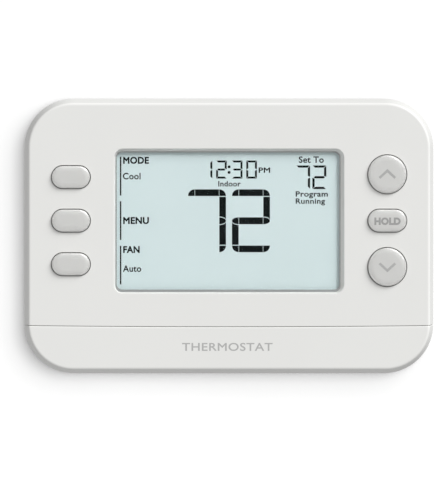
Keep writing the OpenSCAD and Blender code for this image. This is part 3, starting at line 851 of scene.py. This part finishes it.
def thin_digit(skin, digit, x, z0, z1, w, stroke, gap, d0, d1):
    """A slim seven-bar digit with mitred bars."""
    mid = (z0 + z1) / 2
    s, h = stroke, stroke / 2
    left, right = x, x + w

    def across(z_edge, inward):
        """A bar along the top or bottom, its outer edge at z_edge."""
        z_in = z_edge + inward * s
        return [(left + gap, z_edge), (right - gap, z_edge), (right - s - gap, z_in), (left + s + gap, z_in)]

    def upright(x_edge, inward, low, high, low_cut, high_cut):
        """A bar along a side, its outer edge at x_edge."""
        x_in = x_edge + inward * s
        return [(x_edge, low + low_cut[0]), (x_edge, high - high_cut[0]), (x_in, high - high_cut[1]),
                (x_in, low + low_cut[1])]
    corner, waist = (gap, s + gap), (gap, h + gap)
    bars = {
        "a": across(z1, -1), "d": across(z0, 1),
        "f": upright(left, 1, mid, z1, waist, corner), "b": upright(right, -1, mid, z1, waist, corner),
        "e": upright(left, 1, z0, mid, corner, waist), "c": upright(right, -1, z0, mid, corner, waist),
        "g": [(left + h + gap, mid), (left + s + gap, mid + h), (right - s - gap, mid + h),
              (right - h - gap, mid), (right - s - gap, mid - h), (left + s + gap, mid - h)],
    }
    for bar in SEVEN_BARS[digit]:
        prism(skin, bars[bar], d0, d1)


def make_display_glass():
    """The display's two sheets of glass, the front one shorter, in the tone of the reflector behind them."""
    glass = Skin()
    w, h = lcd_hi.x - lcd_lo.x, lcd_hi.z - lcd_lo.z
    ledge, corner_r, edge = 2.4, 0.5, 0.1
    middle_d = (lcd_lo.y + lcd_hi.y) / 2

    def sheet(height):
        return lambda inset: rounded(w - 2 * inset, height - 2 * inset, corner_r, 0, WINDOW_Z, 3)

    glass.plate(sheet(h), lcd_lo.y, middle_d)
    glass.plate(sheet(h - ledge), middle_d, lcd_hi.y, edge)
    panel = glass.piece("display_glass", display_face(), "housing")
    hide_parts("lcd_panel")
    return panel


def make_display_bars():
    """What is lit: the bars down the left side, the room temperature, the clock and the set temperature."""
    d0, d1 = lcd_hi.y - PRINT_T, lcd_hi.y + PRINT_T
    c = WINDOW_Z
    bars = Skin()
    left, right = -35.35, -34.9
    for low, high in ((8.1, 20.7), (-6.3, 6.3), (-20.7, -8.2)):
        prism(bars, [(left, c + low), (right, c + low), (right, c + high), (left, c + high)], d0, d1)
    size = {"w": 12.3, "z0": c - 10.25, "z1": c + 10.1, "stroke": 2.15, "gap": 0.24, "d0": d0, "d1": d1}
    block_digit(bars, "tl top tr ur mr lr br", -13.3, **size)
    block_digit(bars, "tl top tr ur mr mid ml ll bl low br", 0.95, **size)
    clock = {"z0": c + 13.6, "z1": c + 19.45, "w": 3.45, "stroke": 0.64, "gap": 0.07, "d0": d0, "d1": d1}
    for digit, x in (("1", -8.87), ("2", -4.2), ("3", 0.9), ("0", 5.58)):
        thin_digit(bars, digit, x, **clock)
    dot_r, dot_x = 0.48, 0.02
    for z in (15.6, 17.4):
        prism(bars, circle(dot_r, dot_x, c + z, 16), d0, d1)
    target = {"z0": c + 10.2, "z1": c + 17.85, "w": 4.5, "stroke": 0.72, "gap": 0.1, "d0": d0, "d1": d1}
    for digit, x in (("7", 21.75), ("2", 27.0)):
        thin_digit(bars, digit, x, **target)
    lit = bars.piece("display_bars", segment_ink, "housing", 20)
    return lit


def make_display_words():
    """The display's printed words, laid out from the window's middle."""
    c = WINDOW_Z
    bold, plain = 0.04, 0.022
    words = [
        ("MODE", -34.3, -25.95, c + 18.5, 2.25, bold), ("Cool", -34.4, -28.65, c + 13.4, 2.1, plain),
        ("MENU", -34.3, -25.95, c - 1.0, 2.25, bold), ("FAN", -34.3, -28.95, c - 10.4, 2.25, bold),
        ("Auto", -34.4, -28.45, c - 16.55, 2.1, plain), ("PM", 9.6, 13.3, c + 15.5, 1.75, plain),
        ("Indoor", -3.5, 3.8, c + 11.1, 1.75, plain), ("Set To", 22.6, 30.7, c + 18.75, 2.1, plain),
        ("Program", 21.6, 32.0, c + 7.8, 1.75, plain), ("Running", 21.6, 31.1, c + 5.5, 1.75, plain),
    ]
    return lettering("display_words", words, lambda x, z: lcd_hi.y, label_ink, "housing")


def make_pane():
    """The clear pane, with polished round edges."""
    skin = Skin()
    w, h = lens_hi.x - lens_lo.x, lens_hi.z - lens_lo.z
    pane_r, edge = 2.3, 0.2
    skin.plate(lambda inset: rounded(w - 2 * inset, h - 2 * inset, pane_r - inset, 0, WINDOW_Z),
               lens_lo.y, lens_hi.y, edge)
    pane = skin.piece("window_pane", clear_pane(), "housing")
    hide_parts("window_lens")
    return pane


def make_border():
    """The grey border printed just inside the front of the pane."""
    border = Skin()
    reach, front, back = 0.5, 0.01, 0.06
    outer, inner = throat(-reach, -reach), throat(BORDER_W, BORDER_LOW)
    section = ((outer, back), (outer, front), (inner, front), (inner, back))
    rings = [border.ring(outline, lens_hi.y - depth) for outline, depth in section]
    border.loft(rings + rings[:1])
    trim = border.piece("window_border", border_print, "housing")
    return trim


# ---------- CAD nodes that stay, with softened edges and their own materials ----------

def soften(node, material, width=0.12, angle=35):
    """Gives a CAD node its material and rounded edges, or crisp ones at width 0. Its mesh stays as packed."""
    piece = NODES[node]
    mesh = piece.data
    mesh.materials.clear()
    mesh.materials.append(material)
    if "custom_normal" in mesh.attributes:
        mesh.attributes.remove(mesh.attributes["custom_normal"])
    mesh.shade_smooth()
    weld = piece.modifiers.new("weld", "WELD")
    weld.merge_threshold = 1e-6
    flat = piece.modifiers.new("flat", "DECIMATE")
    flat.decimate_type = "DISSOLVE"
    flat.angle_limit = math.radians(1)
    if width:
        bevel = piece.modifiers.new("bevel", "BEVEL")
        bevel.width = width * MM
        bevel.segments = 2
        bevel.limit_method = "ANGLE"
        bevel.angle_limit = math.radians(angle)
        bevel.use_clamp_overlap = False
        bevel.miter_outer = "MITER_ARC"
    else:
        split = piece.modifiers.new("split", "EDGE_SPLIT")
        split.split_angle = math.radians(angle)
    weighted = piece.modifiers.new("weighted_normal", "WEIGHTED_NORMAL")
    weighted.keep_sharp = False


def soften_all():
    """Material and edge width of every CAD node that stays."""
    finishes = {
        "rear_cover": (rear_plastic, 0), "wall_plate": (plate_plastic, 0.2),
        "terminal_block_left": (terminal_plastic, 0.1), "terminal_block_right": (terminal_plastic, 0.1),
        "terminal_clamps": (bronze, 0), "contact_pins": (brass, 0), "jumper_contacts": (bronze, 0),
        "jumper_slider": (black_plastic, 0.12), "lens_gasket": (foam, 0), "lcd_frame": (white_frame, 0.12),
        "light_guide": (acrylic, 0.12), "backlight_leds": (lamp, 0.08), "zebra_strips": (zebra, 0.1),
        "main_board": (circuit_board(), 0.06), "switch_bodies": (black_plastic, 0.12),
        "microcontroller": (black_plastic, 0.05), "relays": (relay_plastic, 0.2),
        "capacitors": (sleeve, 0.2), "small_parts": (ceramic, 0.08), "pin_sockets": (black_plastic, 0.1),
        "temperature_sensor": (black_plastic, 0), "positive_contact": (nickel, 0.06),
        "bridge_contact": (nickel, 0.06), "negative_contact": (nickel, 0.06),
        "case_screws": (zinc, 0.06), "board_screws": (zinc, 0.06),
    }
    finishes.update({"plunger_" + key: (black_plastic, 0.1) for key in KEYS})
    finishes.update({f"release_lever_{i}": (lever_plastic, 0.15) for i in range(1, 11)})
    for node, (material, width) in finishes.items():
        soften(node, material, width)


# ---------- batteries and their springs ----------

def lathe_x(skin, profile, d, z, steps=40):
    """A closed solid turned round an axis along X, from (x, radius) pairs."""
    rings = []
    for x, r in profile:
        angles = [2 * math.pi * i / steps for i in range(steps)]
        rings.append(skin.line([(x, d + r * math.cos(a), z + r * math.sin(a)) for a in angles]))
    skin.solid(rings)


def jacket_material(name, start, end):
    """A printed jacket along X from start to end, in metres: dark, with a copper band at the positive end."""
    material, tree, principled = shader(name)
    axis = add_node(tree, "SeparateXYZ", {"Vector": own_coordinates(tree)})
    along = add_node(tree, "MapRange", {"Value": axis.outputs["X"], "From Min": start, "From Max": end})
    bands = add_node(tree, "ValToRGB", {"Fac": along.outputs["Result"]})
    bands.color_ramp.interpolation = "CONSTANT"
    # bare metal, the copper band, a pale line, black, and bare metal again
    stops = [(0.0, (0.62, 0.60, 0.57)), (0.045, (0.55, 0.27, 0.10)), (0.27, (0.80, 0.78, 0.74)),
             (0.285, (0.018, 0.019, 0.022)), (0.965, (0.62, 0.60, 0.57))]
    elements = bands.color_ramp.elements
    while len(elements) < len(stops):
        elements.new(0.5)
    for element, (position, tone) in zip(elements, stops):
        element.position = position
        element.color = (*tone, 1)
    tree.links.new(bands.outputs["Color"], principled.inputs["Base Color"])
    fine = noise(tree, scale=1800)
    roughness(tree, principled, fine, 0.24, 0.34)
    bump(tree, principled, fine, strength=0.05, distance=0.00002)
    set_inputs(principled, metallic=0.55, coat=0.4, coat_roughness=0.15)
    return material


def make_cell(node):
    """A AAA cell along X: the positive nub at its left end, round shoulders and a flat foot."""
    lo, hi = box_mm(node)
    r = (hi.z - lo.z) / 2
    d, z = (lo.y + hi.y) / 2, (lo.z + hi.z) / 2
    nub_r, nub_len, shoulder, foot_t = 1.9, 0.9, 0.6, 0.15
    cap_x, foot_x = lo.x + nub_len, hi.x - foot_t
    shoulder_round = quarter_round(shoulder, 6)
    profile = [(lo.x, nub_r - 0.3), (lo.x + 0.1, nub_r - 0.08), (lo.x + 0.3, nub_r), (cap_x - 0.1, nub_r),
               (cap_x, nub_r + 0.15), (cap_x, 3.9), (cap_x, 4.4)]
    profile += [(cap_x + along, r - inset) for along, inset in shoulder_round]
    profile += [(foot_x - along, r - inset) for inset, along in shoulder_round]
    profile += [(foot_x, 4.0), (hi.x, 3.8), (hi.x, 3.0)]
    skin = Skin()
    lathe_x(skin, profile, d, z)
    cell = skin.piece(node + "_cell", jacket_material(node + "_jacket", lo.x * MM, hi.x * MM), "housing")
    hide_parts(node)


def make_spring(node):
    """A conical coil spring from a node's box: wide at its right end, where it sits on the contact."""
    lo, hi = box_mm(node)
    d, z = (lo.y + hi.y) / 2, (lo.z + hi.z) / 2
    wire, turns, sides, per_turn = 0.3, 4, 10, 28
    wide, narrow = 3.4, 2.2
    count = turns * per_turn
    run = hi.x - lo.x - 2 * wire
    skin = Skin()
    rings = []
    for i in range(count + 1):
        t, a = i / count, 2 * math.pi * i / per_turn
        ring = []
        for j in range(sides):
            b = 2 * math.pi * j / sides
            r = wide + (narrow - wide) * t + wire * math.cos(b)
            x = hi.x - wire - run * t + wire * math.sin(b)
            ring.append((x, d + r * math.sin(a), z + r * math.cos(a)))
        rings.append(skin.line(ring))
    skin.solid(rings)
    coil = skin.piece(node + "_coil", steel, "housing", 50)
    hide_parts(node)


# ---------- stage ----------

def wall_paint():
    """Pale paint that shows from the room only, and that neither blocks nor throws back light."""
    material, tree, principled = shader("wall_paint")
    colour(tree, principled, noise(tree, scale=12), (0.245, 0.245, 0.245), (0.255, 0.255, 0.255))
    set_inputs(principled, specular=0.0)
    principled.inputs["Roughness"].default_value = 1.0
    principled.inputs["Emission Color"].default_value = (1, 1, 1, 1)
    principled.inputs["Emission Strength"].default_value = 0.24
    clear = add_node(tree, "BsdfTransparent", {}).outputs["BSDF"]
    from_camera = add_node(tree, "LightPath", {}).outputs["Is Camera Ray"]
    from_behind = add_node(tree, "NewGeometry", {}).outputs["Backfacing"]
    hidden = maths(tree, "MAXIMUM", from_behind, maths(tree, "SUBTRACT", 1.0, from_camera))
    mix = add_node(tree, "MixShader", {"Fac": hidden, 1: principled.outputs["BSDF"], 2: clear})
    tree.links.new(mix.outputs["Shader"], tree.nodes["Material Output"].inputs["Surface"])
    return material


def make_wall():
    """The wall behind the thermostat, just clear of its back. Its size is in metres."""
    half, y = 1.5, 0.0003
    corners = [(-half, y, -half), (half, y, -half), (half, y, half), (-half, y, half)]
    mesh = bpy.data.meshes.new("wall")
    mesh.from_pydata(corners, [], [(0, 1, 2, 3)])
    mesh.materials.append(wall_paint())
    wall = add_object("wall", mesh)
    return wall


def make_world(ambient):
    """A white room: pure white where the camera sees it, and softer as a source of light."""
    world = bpy.data.worlds.new("studio")
    world.use_nodes = True
    tree = world.node_tree
    background = tree.nodes["Background"]
    background.inputs["Color"].default_value = (1, 1, 1, 1)
    from_camera = add_node(tree, "LightPath", {}).outputs["Is Camera Ray"]
    strength = add_node(tree, "MapRange", {"Value": from_camera, "To Min": ambient, "To Max": 1.0})
    tree.links.new(strength.outputs["Result"], background.inputs["Strength"])
    bpy.context.scene.world = world


def sun(name, towards, strength, angle):
    """Soft parallel light that comes from the direction (x, y, z)."""
    data = bpy.data.lights.new(name, "SUN")
    data.energy = strength
    data.angle = math.radians(angle)
    light = add_object(name, data)
    light.rotation_mode = "QUATERNION"
    light.rotation_quaternion = Vector(towards).to_track_quat("Z", "Y")
    return light


def aim_light(light, objects, state):
    """Lights only some objects (INCLUDE), or everything but those objects (EXCLUDE)."""
    group = bpy.data.collections.new(light.name + "_on")
    for number, obj in enumerate(objects):
        group.objects.link(obj)
        group.collection_objects[number].light_linking.link_state = state
    light.light_linking.receiver_collection = group


def make_lights(wall, case, keys, display):
    """Soft light from the upper right, with weaker lights for rims, the wall and the back."""
    soft_from = (0.49, -0.67, 0.56)
    lights = (
        ("key_light", soft_from, 1.5, 38, [wall], "EXCLUDE"),
        ("display_light", soft_from, 0.86, 38, display, "INCLUDE"),
        ("raking_light", (0.64, -0.42, 0.64), 1.32, 30, [wall] + display, "EXCLUDE"),
        ("upper_light", (0.6, 0.35, 0.72), 0.35, 24, [wall], "EXCLUDE"),
        ("rim_light", (-0.6, -0.52, -0.6), 0.65, 40, keys, "INCLUDE"),
        ("glint", (0.34, -0.45, 0.83), 2.8, 40, keys, "INCLUDE"),
        ("wall_light", (0.115, -0.99, 0.07), 4.8, 16, [wall], "INCLUDE"),
        ("wall_fill", (0.2, -0.965, 0.156), 3.9, 34, [wall], "INCLUDE"),
        ("back_light", (-0.15, 0.97, 0.12), 1.55, 20, case, "EXCLUDE"),
    )
    for name, towards, strength, angle, objects, state in lights:
        light = sun(name, towards, strength, angle)
        # the glint shows only as a highlight on the keys' rims
        light.visible_diffuse = name != "glint"
        aim_light(light, objects, state)


def make_camera():
    """A long lens, almost square on, from just above the middle."""
    distance, frame_height = 3.0, 0.161
    sensor = 36.0
    data = bpy.data.cameras.new("camera")
    data.sensor_width = sensor
    data.lens = sensor * (distance - SPLIT_D * MM) / frame_height
    data.clip_start, data.clip_end = 0.1, 20
    camera = add_object("camera", data)
    place = Vector((-0.013, -distance, 0.038))
    aim = Vector((-0.0037, -SPLIT_D * MM, -0.0038))
    camera.location = place
    camera.rotation_mode = "QUATERNION"
    camera.rotation_quaternion = (aim - place).to_track_quat("-Z", "Y")
    bpy.context.scene.camera = camera


case = [make_front_cover(), make_battery_cover()]
keys = [make_key(key) for key in KEYS]
keys += [make_chevron("up", True), make_chevron("down", False), make_hold_word()]
make_strip_word()
display = [make_display_glass(), make_display_bars(), make_display_words(), make_pane(), make_border()]
make_cell("battery_left")
make_cell("battery_right")
make_spring("bridge_spring")
make_spring("end_spring")
soften_all()

wall = make_wall()
make_world(ambient=0.5)
make_lights(wall, case, keys, display)
make_camera()
bpy.context.scene.view_settings.view_transform = "Standard"
